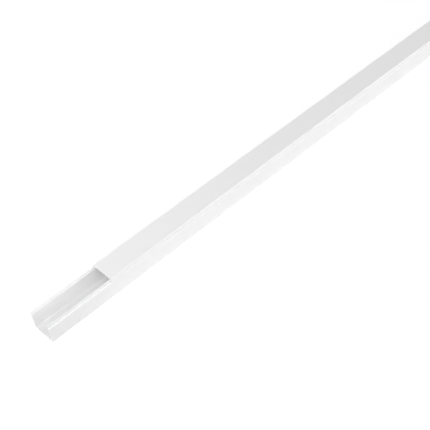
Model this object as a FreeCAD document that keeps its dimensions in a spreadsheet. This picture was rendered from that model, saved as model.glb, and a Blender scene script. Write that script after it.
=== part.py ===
import FreeCAD, Part

import os

import Sketcher

# Mini trunking for cables: a U-shaped base channel with a clip-on lid.
# Both pieces are one cut length of extruded rigid PVC, drawn in millimetres.
# The origin is the middle of the base's back face. +X runs along the stock,
# +Y across it, and +Z up, away from the wall that the base is fixed to.

DRIVING_SIZES = {
    "stock_length": 1000.0,
    "trunking_width": 16.0,
    "closed_height": 16.0,
    "floor_thickness": 1.0,
    "wall_thickness": 1.0,
    "root_radius": 0.5,
    "ledge_edge_radius": 0.7,
    "rail_thickness": 0.75,
    "rail_headroom": 0.2,
    "lead_in_depth": 1.1,
    "bead_depth": 0.35,
    "bead_edge": 0.2,
    "lid_thickness": 1.0,
    "lid_edge_radius": 1.0,
    "skirt_depth": 3.9,
    "skirt_thickness": 0.5,
    "skirt_edge_radius": 0.3,
    "hook_depth": 0.35,
    "hook_height": 0.6,
    "slide_clearance": 0.1,
    "open_length": 46.4,
}

doc = FreeCAD.newDocument("cord_cover_raceway")
sheet = doc.addObject("Spreadsheet::Sheet", "Sizes")
for row, (alias, value) in enumerate(DRIVING_SIZES.items(), start=1):
    sheet.set(f"A{row}", alias)
    sheet.set(f"B{row}", str(value))
    sheet.setAlias(f"B{row}", alias)
doc.recompute()

# Half widths, counted from the middle of the section outwards.
HALF_WIDTH = "Sizes.trunking_width / 2"
WALL_INSIDE = f"({HALF_WIDTH} - Sizes.wall_thickness)"
SKIRT_INSIDE = f"({HALF_WIDTH} - Sizes.skirt_thickness)"
HOOK_INSIDE = f"({SKIRT_INSIDE} - Sizes.hook_depth)"
RAIL_OUTSIDE = f"({HOOK_INSIDE} - Sizes.slide_clearance)"
RAIL_INSIDE = f"({RAIL_OUTSIDE} - Sizes.rail_thickness)"
BEAD_OUTSIDE = f"({RAIL_OUTSIDE} + Sizes.bead_depth)"

# Heights above the back face.
LID_UNDERSIDE = "(Sizes.closed_height - Sizes.lid_thickness)"
SKIRT_FOOT = "(Sizes.closed_height - Sizes.skirt_depth)"
HOOK_TOP = f"({SKIRT_FOOT} + Sizes.hook_height)"
BEAD_FOOT = f"({HOOK_TOP} + Sizes.slide_clearance)"
RAIL_TOP = f"({LID_UNDERSIDE} - Sizes.rail_headroom)"
LEDGE_TOP = f"({SKIRT_FOOT} - Sizes.slide_clearance)"
SHOULDER_TOP = f"({LEDGE_TOP} - Sizes.wall_thickness)"
SHOULDER_FOOT = f"({SHOULDER_TOP} - ({WALL_INSIDE} - {RAIL_INSIDE}))"


def millimetres(formula):
    """The number that a formula of the sheet's cells gives."""
    return float(sheet.evalExpression(formula))


def origin_plane(body, role):
    """The origin plane of a body that has the given role."""
    return next(plane for plane in body.Origin.OriginFeatures if plane.Role == role)


def half_section(body, name, corners):
    """A closed outline across the stock; each corner is tied to a half width and a height."""
    sketch = body.newObject("Sketcher::SketchObject", name)
    sketch.AttachmentSupport = [(origin_plane(body, "YZ_Plane"), "")]
    sketch.MapMode = "FlatFace"
    places = [(millimetres(across), millimetres(up)) for across, up in corners]
    points = [FreeCAD.Vector(across, up, 0) for across, up in places]
    for start, end in zip(points, points[1:] + points[:1]):
        sketch.addGeometry(Part.LineSegment(start, end), False)
    count = len(corners)
    for side in range(count):
        sketch.addConstraint(Sketcher.Constraint("Coincident", side, 2, (side + 1) % count, 1))
    for side, formulas in enumerate(corners):
        for kind, axis, formula, size in zip(
            ("DistanceX", "DistanceY"), (-2, -1), formulas, places[side]
        ):
            if formula == "0":
                sketch.addConstraint(Sketcher.Constraint("PointOnObject", side, 1, axis))
            else:
                index = sketch.addConstraint(Sketcher.Constraint(kind, -1, 1, side, 1, size))
                sketch.setExpression(f"Constraints[{index}]", formula)
    return sketch


def extrude(body, name, sketch):
    """The sketch drawn out to the stock length, half of it each way from the middle."""
    pad = body.newObject("PartDesign::Pad", name)
    pad.Profile = sketch
    pad.SideType = "Symmetric"
    pad.setExpression("Length", "Sizes.stock_length")
    doc.recompute()
    return pad


def long_edges(feature, places):
    """The names of the edges that run along the stock at the given half widths and heights."""
    wanted = [(millimetres(across), millimetres(up)) for across, up in places]
    names = []
    for number, edge in enumerate(feature.Shape.Edges, start=1):
        ends = [vertex.Point for vertex in edge.Vertexes]
        runs_along = len(ends) == 2 and abs(ends[0].x - ends[1].x) > 1.0
        for across, up in wanted:
            if runs_along and abs(ends[0].y - across) < 0.001 and abs(ends[0].z - up) < 0.001:
                names.append(f"Edge{number}")
    return names


def round_edges(body, name, feature, radius, places):
    """A fillet of the given radius on the long edges of the feature at those places."""
    fillet = body.newObject("PartDesign::Fillet", name)
    fillet.Base = (feature, long_edges(feature, places))
    fillet.setExpression("Radius", radius)
    doc.recompute()
    return fillet


def mirror_across(body, name, features):
    """The other half of the section: the features mirrored in the plane along the middle."""
    mirrored = body.newObject("PartDesign::Mirrored", name)
    mirrored.Originals = features
    mirrored.MirrorPlane = (origin_plane(body, "XZ_Plane"), [""])
    body.Tip = mirrored
    doc.recompute()
    return mirrored


def make_base_channel():
    """The base: floor, wall, ledge, and above it the inset rail with its snap bead and lead-in."""
    body = doc.addObject("PartDesign::Body", "base_channel")
    corners = [
        ("0", "0"),
        (HALF_WIDTH, "0"),
        (HALF_WIDTH, LEDGE_TOP),
        (RAIL_OUTSIDE, LEDGE_TOP),
        (RAIL_OUTSIDE, BEAD_FOOT),
        (BEAD_OUTSIDE, f"({BEAD_FOOT} + Sizes.bead_depth)"),
        (BEAD_OUTSIDE, f"({RAIL_TOP} - Sizes.bead_edge)"),
        (f"({BEAD_OUTSIDE} - Sizes.bead_edge)", RAIL_TOP),
        (RAIL_OUTSIDE, RAIL_TOP),
        (RAIL_INSIDE, f"({RAIL_TOP} - Sizes.lead_in_depth)"),
        (RAIL_INSIDE, SHOULDER_TOP),
        (WALL_INSIDE, SHOULDER_FOOT),
        (WALL_INSIDE, "Sizes.floor_thickness"),
        ("0", "Sizes.floor_thickness"),
    ]
    sketch = half_section(body, "base_half_section", corners)
    pad = extrude(body, "base_half", sketch)
    root = round_edges(
        body, "root_round", pad, "Sizes.root_radius", [(WALL_INSIDE, "Sizes.floor_thickness")]
    )
    ledge = round_edges(
        body, "ledge_round", root, "Sizes.ledge_edge_radius", [(HALF_WIDTH, LEDGE_TOP)]
    )
    mirror_across(body, "base_other_half", [pad, root, ledge])
    return body


def make_snap_lid():
    """The lid: flat top, rounded outer edges, and skirts with hooks that catch the beads."""
    body = doc.addObject("PartDesign::Body", "snap_lid")
    corners = [
        ("0", "Sizes.closed_height"),
        ("0", LID_UNDERSIDE),
        (SKIRT_INSIDE, LID_UNDERSIDE),
        (SKIRT_INSIDE, f"({HOOK_TOP} + Sizes.hook_depth)"),
        (HOOK_INSIDE, HOOK_TOP),
        (HOOK_INSIDE, f"({SKIRT_FOOT} + Sizes.hook_depth)"),
        (SKIRT_INSIDE, SKIRT_FOOT),
        (HALF_WIDTH, SKIRT_FOOT),
        (HALF_WIDTH, "Sizes.closed_height"),
    ]
    sketch = half_section(body, "lid_half_section", corners)
    pad = extrude(body, "lid_half", sketch)
    edge = round_edges(
        body, "lid_edge_round", pad, "Sizes.lid_edge_radius", [(HALF_WIDTH, "Sizes.closed_height")]
    )
    foot = round_edges(
        body, "skirt_foot_round", edge, "Sizes.skirt_edge_radius", [(HALF_WIDTH, SKIRT_FOOT)]
    )
    mirror_across(body, "lid_other_half", [pad, edge, foot])
    body.setExpression("Placement.Base.x", "Sizes.open_length")
    return body


pieces = [make_base_channel(), make_snap_lid()]
doc.recompute()

for item in doc.Objects:
    if "Invalid" in item.State or "Error" in item.State:
        raise RuntimeError(f"{item.Label} failed to build: {item.State}")
for piece in pieces:
    if piece.Shape.isNull() or not piece.Shape.isValid() or len(piece.Shape.Solids) != 1:
        raise RuntimeError(f"{piece.Label} is not one valid solid")

os.makedirs("parts", exist_ok=True)
for piece in pieces:
    piece.Shape.exportStep(f"parts/{piece.Label}.step")
    box = piece.Shape.BoundBox
    print(
        f"{piece.Label}: volume {piece.Shape.Volume:.1f} mm3, "
        f"{box.XLength:.1f} x {box.YLength:.1f} x {box.ZLength:.1f} mm"
    )
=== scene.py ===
import bpy
import numpy as np
from mathutils import Matrix, Vector


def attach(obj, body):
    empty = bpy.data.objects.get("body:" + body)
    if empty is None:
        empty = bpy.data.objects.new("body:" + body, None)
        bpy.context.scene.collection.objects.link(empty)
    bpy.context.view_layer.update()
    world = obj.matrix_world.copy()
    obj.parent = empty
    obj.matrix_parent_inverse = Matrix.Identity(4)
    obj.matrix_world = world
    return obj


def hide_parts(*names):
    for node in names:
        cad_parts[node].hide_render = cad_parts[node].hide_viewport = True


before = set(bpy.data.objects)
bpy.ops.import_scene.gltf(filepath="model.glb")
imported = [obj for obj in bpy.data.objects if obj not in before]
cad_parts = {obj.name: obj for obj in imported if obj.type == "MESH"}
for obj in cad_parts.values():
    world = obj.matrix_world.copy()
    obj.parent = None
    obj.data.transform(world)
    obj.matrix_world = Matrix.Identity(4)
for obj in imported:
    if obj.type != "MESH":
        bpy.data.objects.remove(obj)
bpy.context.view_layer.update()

# Mini trunking in white rigid PVC: a base channel and the clip-on lid that runs on its rails.
# The frame is the part's own: +X along the stock, +Y across it, +Z up, origin in the back face.
# The pieces' sizes are in millimetres. Places in the studio and the materials are in metres.
MM = 0.001

# Sizes shared by both pieces
STOCK_LENGTH = 1000.0
WIDTH = 16.0
CLOSED_HEIGHT = 16.0
WALL = 1.0
LID_TOP = 1.0
SKIRT_DEPTH = 3.9
SKIRT = 0.5
HOOK_REACH = 0.35
HOOK_HEIGHT = 0.6
CLEARANCE = 0.1
RAIL = 0.75
RAIL_HEADROOM = 0.2
LEAD_IN_DEPTH = 1.1
BEAD_REACH = 0.35
BEAD_EDGE = 0.2
OPEN_LENGTH = 46.4

# Radii of the corners of the two sections
LID_EDGE_RADIUS = 1.0
SKIRT_FOOT_RADIUS = 0.3
LEDGE_RADIUS = 0.7
ROOT_RADIUS = 0.5
BACK_EDGE_RADIUS = 0.25
CRISP_RADIUS = 0.1
SOFT_RADIUS = 0.15

# Heights and half widths that follow from them
HALF = WIDTH / 2
SKIRT_FOOT = CLOSED_HEIGHT - SKIRT_DEPTH
LID_UNDERSIDE = CLOSED_HEIGHT - LID_TOP
HOOK_TOP = SKIRT_FOOT + HOOK_HEIGHT
SKIRT_INSIDE = HALF - SKIRT
HOOK_INSIDE = SKIRT_INSIDE - HOOK_REACH
RAIL_OUTSIDE = HOOK_INSIDE - CLEARANCE
RAIL_INSIDE = RAIL_OUTSIDE - RAIL
BEAD_OUTSIDE = RAIL_OUTSIDE + BEAD_REACH
BEAD_FOOT = HOOK_TOP + CLEARANCE
RAIL_TOP = LID_UNDERSIDE - RAIL_HEADROOM
LEDGE = SKIRT_FOOT - CLEARANCE
WALL_INSIDE = HALF - WALL
SHOULDER_TOP = LEDGE - WALL
SHOULDER_FOOT = SHOULDER_TOP - (WALL_INSIDE - RAIL_INSIDE)

# Each corner: half width, height, radius. They run up the outside and back down the inside.
BASE_CORNERS = [
    (HALF, 0.0, BACK_EDGE_RADIUS),
    (HALF, LEDGE, LEDGE_RADIUS),
    (RAIL_OUTSIDE, LEDGE, SOFT_RADIUS),
    (RAIL_OUTSIDE, BEAD_FOOT, CRISP_RADIUS),
    (BEAD_OUTSIDE, BEAD_FOOT + BEAD_REACH, SOFT_RADIUS),
    (BEAD_OUTSIDE, RAIL_TOP - BEAD_EDGE, CRISP_RADIUS),
    (BEAD_OUTSIDE - BEAD_EDGE, RAIL_TOP, CRISP_RADIUS),
    (RAIL_OUTSIDE, RAIL_TOP, CRISP_RADIUS),
    (RAIL_INSIDE, RAIL_TOP - LEAD_IN_DEPTH, SOFT_RADIUS),
    (RAIL_INSIDE, SHOULDER_TOP, SOFT_RADIUS),
    (WALL_INSIDE, SHOULDER_FOOT, SOFT_RADIUS),
    (WALL_INSIDE, WALL, ROOT_RADIUS),
]

# The lid's corners run down the inside of the skirt and back up its outside.
LID_CORNERS = [
    (SKIRT_INSIDE, LID_UNDERSIDE, SOFT_RADIUS),
    (SKIRT_INSIDE, HOOK_TOP + HOOK_REACH, CRISP_RADIUS),
    (HOOK_INSIDE, HOOK_TOP, CRISP_RADIUS),
    (HOOK_INSIDE, SKIRT_FOOT + HOOK_REACH, CRISP_RADIUS),
    (SKIRT_INSIDE, SKIRT_FOOT, CRISP_RADIUS),
    (HALF, SKIRT_FOOT, SKIRT_FOOT_RADIUS),
    (HALF, CLOSED_HEIGHT, LID_EDGE_RADIUS),
]

# Points on each corner's arc, the distance between rings of points, and the deburred edge's width
ARC_POINTS = 7
RING_STEP = 20.0
SAWN_EDGE = 0.05

# The saw left the base's near cut leaning, by this share of the height.
NEAR_CUT_LEAN = 0.08

# Whites of the three finishes, and how rough the two skins are where nothing has rubbed them
BASE_WHITE = (0.901, 0.90, 0.90)
LID_WHITE = (0.903, 0.899, 0.90)
SAWN_WHITE = (0.88, 0.88, 0.88)
BASE_ROUGHNESS = 0.36
LID_ROUGHNESS = 0.33
PVC_IOR = 1.53

# Each noise: grains per metre, the share of them along each axis, octaves, roughness
DIE_LINES = (900.0, (0.004, 1.0, 1.0), 3.0, 0.5)
BROAD_LINES = (160.0, (0.01, 1.0, 1.0), 2.0, 0.5)
CLOUDS = (30.0, (0.35, 1.0, 1.0), 3.0, 0.5)
ORANGE_PEEL = (700.0, (0.5, 1.0, 1.0), 2.0, 0.5)
SCUFFS = (55.0, (0.25, 1.0, 1.0), 8.0, 0.75)
CRUMBS = (2600.0, (1.0, 1.0, 1.0), 4.0, 0.5)

# The span that a noise's values mostly fill, and the upper part of it that shows as scuffs
NOISE_SPAN = (0.3, 0.7)
SCUFF_SPAN = (0.5, 0.75)

# The skins' tone: the shares of its two parts, and its darkest share of the white
TONE_CLOUDS = 0.7
TONE_BROAD_LINES = 0.3
SKIN_DARKEST = 0.985

# What the die lines and the scuffs add to the skins' roughness
LINES_SMOOTHER = -0.03
LINES_ROUGHER = 0.04
SCUFFS_ROUGHER = 0.10

# The skins' relief: the shares of its three parts, its depth and its strength
RELIEF_DIE_LINES = 0.5
RELIEF_BROAD_LINES = 0.9
RELIEF_ORANGE_PEEL = 0.25
SKIN_RELIEF_DEPTH = 0.00005
SKIN_RELIEF_STRENGTH = 0.8

# The saw's axis, and the arcs that its teeth leave on a cut, about 0.75 mm apart
SAW_AXIS = (0.0, -0.004, -0.09)
TOOTH_ARC_SCALE = 420.0
TOOTH_ARC_WOBBLE = 1.4
TOOTH_ARC_OCTAVES = 3.0
TOOTH_ARC_WOBBLE_SCALE = 2.0

# The cuts: the shares of arcs and crumbs, the darkest share of the white, roughness, relief
CUT_TOOTH_ARCS = 0.5
CUT_CRUMBS = 0.5
CUT_DARKEST = 0.93
CUT_SMOOTHEST = 0.62
CUT_ROUGHEST = 0.8
CUT_RELIEF_DEPTH = 0.00008
CUT_RELIEF_STRENGTH = 0.7

# The floor: its height, its reach each way, and the glow and the shadows that the camera sees
FLOOR_Z = -0.0001
FLOOR_REACH = 40.0
FLOOR_GLOW = 0.9
FLOOR_SHADOW_WHITE = (0.14, 0.14, 0.14)

# The share of light that the floor throws back, the smaller share beside the open end, and
# the stretch along X where the smaller one passes into the other
FLOOR_BOUNCE = 0.92
NEAR_FLOOR_BOUNCE = 0.63
BOUNCE_CHANGE = (-0.495, -0.44)

# Strength of the even light from all round
WORLD_LEVEL = 0.12

# Each softbox: name, place, the point that it faces, width and height, watts
SOFTBOXES = [
    ("end_softbox", (-1.47, -0.72, 0.98), (-0.43, 0.0, 0.0), (0.80, 0.80), 7.8),
    ("low_end_softbox", (-1.45, 0.45, 0.30), (-0.47, 0.0, 0.0), (0.50, 0.40), 5.4),
    ("steep_softbox", (-1.05, -0.60, 1.35), (-0.43, 0.0, 0.0), (0.80, 0.80), 6.0),
    ("front_softbox", (-0.30, -1.76, 1.32), (-0.30, 0.0, 0.0), (1.20, 1.20), 11.1),
    ("far_softbox", (0.55, -0.90, 0.30), (0.00, 0.0, 0.0), (0.80, 0.30), 4.3),
    ("back_softbox", (0.10, 1.50, 1.20), (-0.20, 0.0, 0.0), (1.20, 0.80), 9.5),
]

# The photo's camera: place, viewing and upward directions, nearest and farthest distance, and
# lens and sensor width in millimetres
CAMERA_PLACE = (-0.67674, -0.32953, 0.45454)
CAMERA_LOOK = (0.48882, 0.50673, -0.71013)
CAMERA_UP = (0.52522, 0.47902, 0.70334)
CAMERA_NEAREST = 0.01
CAMERA_FARTHEST = 50.0
CAMERA_LENS = 83.485
SENSOR_WIDTH = 36.0

# White walls that face each other pass light on many times.
LIGHT_BOUNCES = 16
DIFFUSE_BOUNCES = 12


def rounded_loop(corners):
    """A closed outline with each corner turned into an arc, and its outward directions.

    With unit vectors a and b from the corner along its two sides and half angle h between
    them, the centre lies along a + b at radius / sin h. Arc points are the centre plus a
    spoke of that radius that turns evenly from one tangent point to the other. The spoke
    points outwards on a corner that turns left, and inwards on one that turns right.
    """
    table = np.array(corners)
    points, radii = table[:, :2], table[:, 2]
    back = np.roll(points, 1, axis=0) - points
    ahead = np.roll(points, -1, axis=0) - points
    back /= np.linalg.norm(back, axis=1)[:, None]
    ahead /= np.linalg.norm(ahead, axis=1)[:, None]
    half_angle = np.arccos(np.clip((back * ahead).sum(axis=1), -1, 1)) / 2
    middle = back + ahead
    middle /= np.linalg.norm(middle, axis=1)[:, None]
    centres = points + middle * (radii / np.sin(half_angle))[:, None]
    start = points + back * (radii / np.tan(half_angle))[:, None] - centres
    end = points + ahead * (radii / np.tan(half_angle))[:, None] - centres
    cross = start[:, 0] * end[:, 1] - start[:, 1] * end[:, 0]
    turned = np.arctan2(cross, (start * end).sum(axis=1))
    steps = turned[:, None] * np.linspace(0, 1, ARC_POINTS)
    across = start[:, :1] * np.cos(steps) - start[:, 1:] * np.sin(steps)
    up = start[:, :1] * np.sin(steps) + start[:, 1:] * np.cos(steps)
    spokes = np.stack([across, up], axis=2)
    arcs = centres[:, None, :] + spokes
    outward = spokes * (np.sign(turned) / radii)[:, None, None]
    return arcs.reshape(-1, 2), outward.reshape(-1, 2)


def whole_section(half_corners):
    """The half section's corners, followed by their mirror images in reverse order."""
    mirrored = [(-across, up, radius) for across, up, radius in reversed(half_corners)]
    return rounded_loop(half_corners + mirrored)


def ring_places(start, end):
    """Where the rings of points stand: at the two cuts, and evenly between their edges."""
    count = round((end - start) / RING_STEP) + 1
    inner = np.linspace(start + SAWN_EDGE, end - SAWN_EDGE, count)
    return np.concatenate([[start], inner, [end]])


def extrusion_points(loop, outward, places, lean):
    """Rings of points: point (x, s) is the section's point s carried to the place x.

    The first and last ring are drawn in along the section's outward directions, by the
    width of the deburred edge. The first two move back along X by lean times their height.
    """
    drawn_in = np.zeros(len(places))
    drawn_in[[0, -1]] = SAWN_EDGE
    rings = np.empty((len(places), len(loop), 3))
    rings[:, :, 0] = places[:, None]
    rings[:, :, 1:] = loop[None] - drawn_in[:, None, None] * outward[None]
    rings[:2, :, 0] -= lean * rings[:2, :, 2]
    return rings


def extrusion_faces(ring_count, ring_size):
    """Four-sided faces between each ring of points and the next, then one face for each cut."""
    row = np.arange(ring_count - 1)[:, None] * ring_size
    here = np.arange(ring_size)
    there = np.roll(here, -1)
    corners = [row + here, row + there, row + there + ring_size, row + here + ring_size]
    quads = np.stack(corners, axis=2).reshape(-1, 4)
    first_cut = here[::-1]
    last_cut = here + (ring_count - 1) * ring_size
    return quads.tolist() + [first_cut.tolist(), last_cut.tolist()]


def face_corner_normals(outward, ring_count, lean):
    """The shading direction at every corner of every face, in the order of the faces.

    On the skin it is the section's own outward direction. On a deburred edge it is the sum
    of that and the way out along X, and on a cut it is the cut's own.
    """
    around = np.concatenate([np.zeros((len(outward), 1)), outward], axis=1)
    ahead = np.roll(around, -1, axis=0)
    strip = np.stack([around, ahead, ahead, around], axis=1)
    skin = np.repeat(strip[None], ring_count - 1, axis=0)
    skin[0, :, :, 0] = -1
    skin[-1, :, :, 0] = 1
    cuts = np.zeros((2, len(outward), 3))
    cuts[0] = (-1, 0, -lean)
    cuts[1] = (1, 0, 0)
    normals = np.concatenate([skin.reshape(-1, 3), cuts.reshape(-1, 3)])
    return normals / np.linalg.norm(normals, axis=1)[:, None]


def extruded(name, half_corners, start, end, skin, sawn, lean=0.0):
    """The closed section carried from start to end, with a skin round it and sawn cuts."""
    loop, outward = whole_section(half_corners)
    places = ring_places(start, end)
    points = extrusion_points(loop, outward, places, lean) * MM
    faces = extrusion_faces(len(places), len(loop))
    mesh = bpy.data.meshes.new(name)
    mesh.from_pydata(points.reshape(-1, 3).tolist(), [], faces)
    is_cut = np.zeros(len(faces), dtype=bool)
    is_cut[-2:] = True
    mesh.materials.append(skin)
    mesh.materials.append(sawn)
    mesh.polygons.foreach_set("material_index", is_cut.astype(np.int32))
    mesh.polygons.foreach_set("use_smooth", ~is_cut)
    mesh.normals_split_custom_set(face_corner_normals(outward, len(places), lean).tolist())
    piece = bpy.data.objects.new(name, mesh)
    bpy.context.scene.collection.objects.link(piece)
    return piece


def new_material(name):
    """A node material, with its tree, its surface shader and the Object coordinates."""
    material = bpy.data.materials.new(name)
    material.use_nodes = True
    tree = material.node_tree
    return material, tree, tree.nodes["Principled BSDF"], tree.nodes.new("ShaderNodeTexCoord")


def noise(tree, coordinates, density, shares, octaves, roughness):
    """A noise with that many grains per metre, times the share for each axis."""
    mapping = tree.nodes.new("ShaderNodeMapping")
    mapping.inputs["Scale"].default_value = shares
    tree.links.new(coordinates.outputs["Object"], mapping.inputs["Vector"])
    grain = tree.nodes.new("ShaderNodeTexNoise")
    grain.inputs["Scale"].default_value = density
    grain.inputs["Detail"].default_value = octaves
    grain.inputs["Roughness"].default_value = roughness
    tree.links.new(mapping.outputs["Vector"], grain.inputs["Vector"])
    return grain.outputs["Fac"]


def tooth_arcs(tree, coordinates):
    """Rings round the saw's axis, which runs along X, as its teeth leave them on a cut."""
    mapping = tree.nodes.new("ShaderNodeMapping")
    mapping.inputs["Location"].default_value = [-place for place in SAW_AXIS]
    tree.links.new(coordinates.outputs["Object"], mapping.inputs["Vector"])
    teeth = tree.nodes.new("ShaderNodeTexWave")
    teeth.wave_type = "RINGS"
    teeth.rings_direction = "X"
    teeth.inputs["Scale"].default_value = TOOTH_ARC_SCALE
    teeth.inputs["Distortion"].default_value = TOOTH_ARC_WOBBLE
    teeth.inputs["Detail"].default_value = TOOTH_ARC_OCTAVES
    teeth.inputs["Detail Scale"].default_value = TOOTH_ARC_WOBBLE_SCALE
    tree.links.new(mapping.outputs["Vector"], teeth.inputs["Vector"])
    return teeth.outputs["Fac"]


def to_range(tree, value, low, high, span=NOISE_SPAN):
    """The value carried from its span to low..high, and held there outside it."""
    node = tree.nodes.new("ShaderNodeMapRange")
    node.inputs["From Min"].default_value, node.inputs["From Max"].default_value = span
    node.inputs["To Min"].default_value = low
    node.inputs["To Max"].default_value = high
    tree.links.new(value, node.inputs["Value"])
    return node.outputs["Result"]


def combine(tree, operation, first, second):
    """Two values put together by a Math node."""
    node = tree.nodes.new("ShaderNodeMath")
    node.operation = operation
    for socket, value in zip(node.inputs, (first, second)):
        if isinstance(value, float):
            socket.default_value = value
        else:
            tree.links.new(value, socket)
    return node.outputs["Value"]


def blended(tree, first, *others):
    """The sum of several values, each given with its share."""
    total = combine(tree, "MULTIPLY", *first)
    for value, share in others:
        total = combine(tree, "ADD", total, combine(tree, "MULTIPLY", value, share))
    return total


def shade_white(tree, shader, pattern, white, darkest):
    """The shader's colour: from the darkest share of the white to all of it, by the pattern."""
    ramp = tree.nodes.new("ShaderNodeValToRGB")
    low, high = ramp.color_ramp.elements
    low.color = (*(channel * darkest for channel in white), 1)
    high.color = (*white, 1)
    tree.links.new(to_range(tree, pattern, 0.0, 1.0), ramp.inputs["Fac"])
    tree.links.new(ramp.outputs["Color"], shader.inputs["Base Color"])


def relief(tree, shader, height, depth, strength):
    """The height as a bump of the given depth in metres."""
    bump = tree.nodes.new("ShaderNodeBump")
    bump.inputs["Distance"].default_value = depth
    bump.inputs["Strength"].default_value = strength
    tree.links.new(height, bump.inputs["Height"])
    tree.links.new(bump.outputs["Normal"], shader.inputs["Normal"])


def extruded_pvc(name, white, roughness):
    """White PVC as it leaves the die: satin, with fine lines along the stock and faint scuffs."""
    material, tree, shader, coordinates = new_material(name)
    die_lines = noise(tree, coordinates, *DIE_LINES)
    broad_lines = noise(tree, coordinates, *BROAD_LINES)
    clouds = noise(tree, coordinates, *CLOUDS)
    orange_peel = noise(tree, coordinates, *ORANGE_PEEL)
    scuffs = noise(tree, coordinates, *SCUFFS)
    tone = blended(tree, (clouds, TONE_CLOUDS), (broad_lines, TONE_BROAD_LINES))
    shade_white(tree, shader, tone, white, SKIN_DARKEST)
    lined = to_range(tree, die_lines, LINES_SMOOTHER, LINES_ROUGHER)
    worn = to_range(tree, scuffs, roughness, roughness + SCUFFS_ROUGHER, SCUFF_SPAN)
    tree.links.new(combine(tree, "ADD", lined, worn), shader.inputs["Roughness"])
    height = blended(
        tree,
        (die_lines, RELIEF_DIE_LINES),
        (broad_lines, RELIEF_BROAD_LINES),
        (orange_peel, RELIEF_ORANGE_PEEL),
    )
    relief(tree, shader, height, SKIN_RELIEF_DEPTH, SKIN_RELIEF_STRENGTH)
    shader.inputs["IOR"].default_value = PVC_IOR
    return material


def sawn_pvc(name, white):
    """White PVC at a cut: matt, with arcs left by the saw's teeth and fine crumbs."""
    material, tree, shader, coordinates = new_material(name)
    arcs = tooth_arcs(tree, coordinates)
    crumbs = noise(tree, coordinates, *CRUMBS)
    marks = blended(tree, (arcs, CUT_TOOTH_ARCS), (crumbs, CUT_CRUMBS))
    shade_white(tree, shader, marks, white, CUT_DARKEST)
    tree.links.new(
        to_range(tree, crumbs, CUT_SMOOTHEST, CUT_ROUGHEST), shader.inputs["Roughness"]
    )
    relief(tree, shader, marks, CUT_RELIEF_DEPTH, CUT_RELIEF_STRENGTH)
    shader.inputs["IOR"].default_value = PVC_IOR
    return material


def seen_or_mirrored(tree):
    """1 for a camera, glossy or transmission ray and 0 for a ray that only carries light."""
    path = tree.nodes.new("ShaderNodeLightPath")
    either = combine(tree, "MAXIMUM", path.outputs["Is Camera Ray"], path.outputs["Is Glossy Ray"])
    return combine(tree, "MAXIMUM", either, path.outputs["Is Transmission Ray"])


def floor_white():
    """White with a soft shadow where it is seen, and a plain diffuse surface to other light.

    The diffuse surface throws back less light beside the base's open end.
    """
    material = bpy.data.materials.new("studio_floor_white")
    material.use_nodes = True
    tree = material.node_tree
    tree.nodes.clear()
    coordinates = tree.nodes.new("ShaderNodeTexCoord")
    place = tree.nodes.new("ShaderNodeSeparateXYZ")
    tree.links.new(coordinates.outputs["Object"], place.inputs["Vector"])
    bounce = to_range(tree, place.outputs["X"], NEAR_FLOOR_BOUNCE, FLOOR_BOUNCE, BOUNCE_CHANGE)
    lighting = tree.nodes.new("ShaderNodeBsdfDiffuse")
    tree.links.new(bounce, lighting.inputs["Color"])
    glow = tree.nodes.new("ShaderNodeEmission")
    glow.inputs["Strength"].default_value = FLOOR_GLOW
    shadow = tree.nodes.new("ShaderNodeBsdfDiffuse")
    shadow.inputs["Color"].default_value = (*FLOOR_SHADOW_WHITE, 1)
    seen = tree.nodes.new("ShaderNodeAddShader")
    tree.links.new(glow.outputs["Emission"], seen.inputs[0])
    tree.links.new(shadow.outputs["BSDF"], seen.inputs[1])
    mix = tree.nodes.new("ShaderNodeMixShader")
    tree.links.new(seen_or_mirrored(tree), mix.inputs["Fac"])
    tree.links.new(lighting.outputs["BSDF"], mix.inputs[1])
    tree.links.new(seen.outputs["Shader"], mix.inputs[2])
    output = tree.nodes.new("ShaderNodeOutputMaterial")
    tree.links.new(mix.outputs["Shader"], output.inputs["Surface"])
    return material


def pale_floor():
    """A wide square of studio floor, just under the part."""
    low, high = -FLOOR_REACH, FLOOR_REACH
    corners = [(low, low, FLOOR_Z), (high, low, FLOOR_Z),
               (high, high, FLOOR_Z), (low, high, FLOOR_Z)]
    mesh = bpy.data.meshes.new("studio_floor")
    mesh.from_pydata(corners, [], [(0, 1, 2, 3)])
    mesh.materials.append(floor_white())
    floor = bpy.data.objects.new("studio_floor", mesh)
    bpy.context.scene.collection.objects.link(floor)


def white_world():
    """Even light from all round, and pure white where the camera looks past the floor."""
    world = bpy.data.worlds.new("studio_world")
    bpy.context.scene.world = world
    world.use_nodes = True
    tree = world.node_tree
    background = tree.nodes["Background"]
    background.inputs["Color"].default_value = (1, 1, 1, 1)
    level = to_range(tree, seen_or_mirrored(tree), WORLD_LEVEL, 1.0, span=(0.0, 1.0))
    tree.links.new(level, background.inputs["Strength"])


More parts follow.
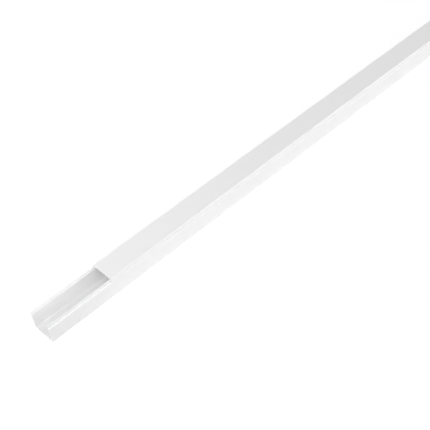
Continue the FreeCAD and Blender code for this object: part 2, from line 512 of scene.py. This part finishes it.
def soft_lamp(name, place, aim, size, watts):
    """A rectangular area lamp, of the given width and height, that faces the aim point."""
    lamp = bpy.data.lights.new(name, "AREA")
    lamp.shape = "RECTANGLE"
    lamp.size, lamp.size_y = size
    lamp.energy = watts
    holder = bpy.data.objects.new(name, lamp)
    bpy.context.scene.collection.objects.link(holder)
    direction = Vector(aim) - Vector(place)
    turn = direction.to_track_quat("-Z", "Y").to_matrix().to_4x4()
    holder.matrix_world = Matrix.Translation(place) @ turn
    holder.visible_camera = False


def place_camera():
    """The scene's camera, at the photo's place and angle."""
    data = bpy.data.cameras.new("photo_camera")
    data.lens = CAMERA_LENS
    data.sensor_width = SENSOR_WIDTH
    data.clip_start = CAMERA_NEAREST
    data.clip_end = CAMERA_FARTHEST
    camera = bpy.data.objects.new("photo_camera", data)
    bpy.context.scene.collection.objects.link(camera)
    forward = Vector(CAMERA_LOOK).normalized()
    right = forward.cross(Vector(CAMERA_UP)).normalized()
    upward = right.cross(forward)
    axes = Matrix((right, upward, -forward)).transposed().to_4x4()
    camera.matrix_world = Matrix.Translation(CAMERA_PLACE) @ axes
    bpy.context.scene.camera = camera


half_length = STOCK_LENGTH / 2
sawn_end = sawn_pvc("sawn_end", SAWN_WHITE)
base_skin = extruded_pvc("base_channel_skin", BASE_WHITE, BASE_ROUGHNESS)
lid_skin = extruded_pvc("snap_lid_skin", LID_WHITE, LID_ROUGHNESS)

channel = extruded(
    "base_channel_extrusion", BASE_CORNERS, -half_length, half_length, base_skin, sawn_end,
    lean=NEAR_CUT_LEAN,
)
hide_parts("base_channel")
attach(channel, "base")

lid = extruded(
    "snap_lid_extrusion", LID_CORNERS, OPEN_LENGTH - half_length, OPEN_LENGTH + half_length,
    lid_skin, sawn_end,
)
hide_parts("snap_lid")
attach(lid, "lid")

pale_floor()
white_world()
for softbox in SOFTBOXES:
    soft_lamp(*softbox)
place_camera()
bpy.context.scene.view_settings.view_transform = "Standard"
bpy.context.scene.cycles.max_bounces = LIGHT_BOUNCES
bpy.context.scene.cycles.diffuse_bounces = DIFFUSE_BOUNCES
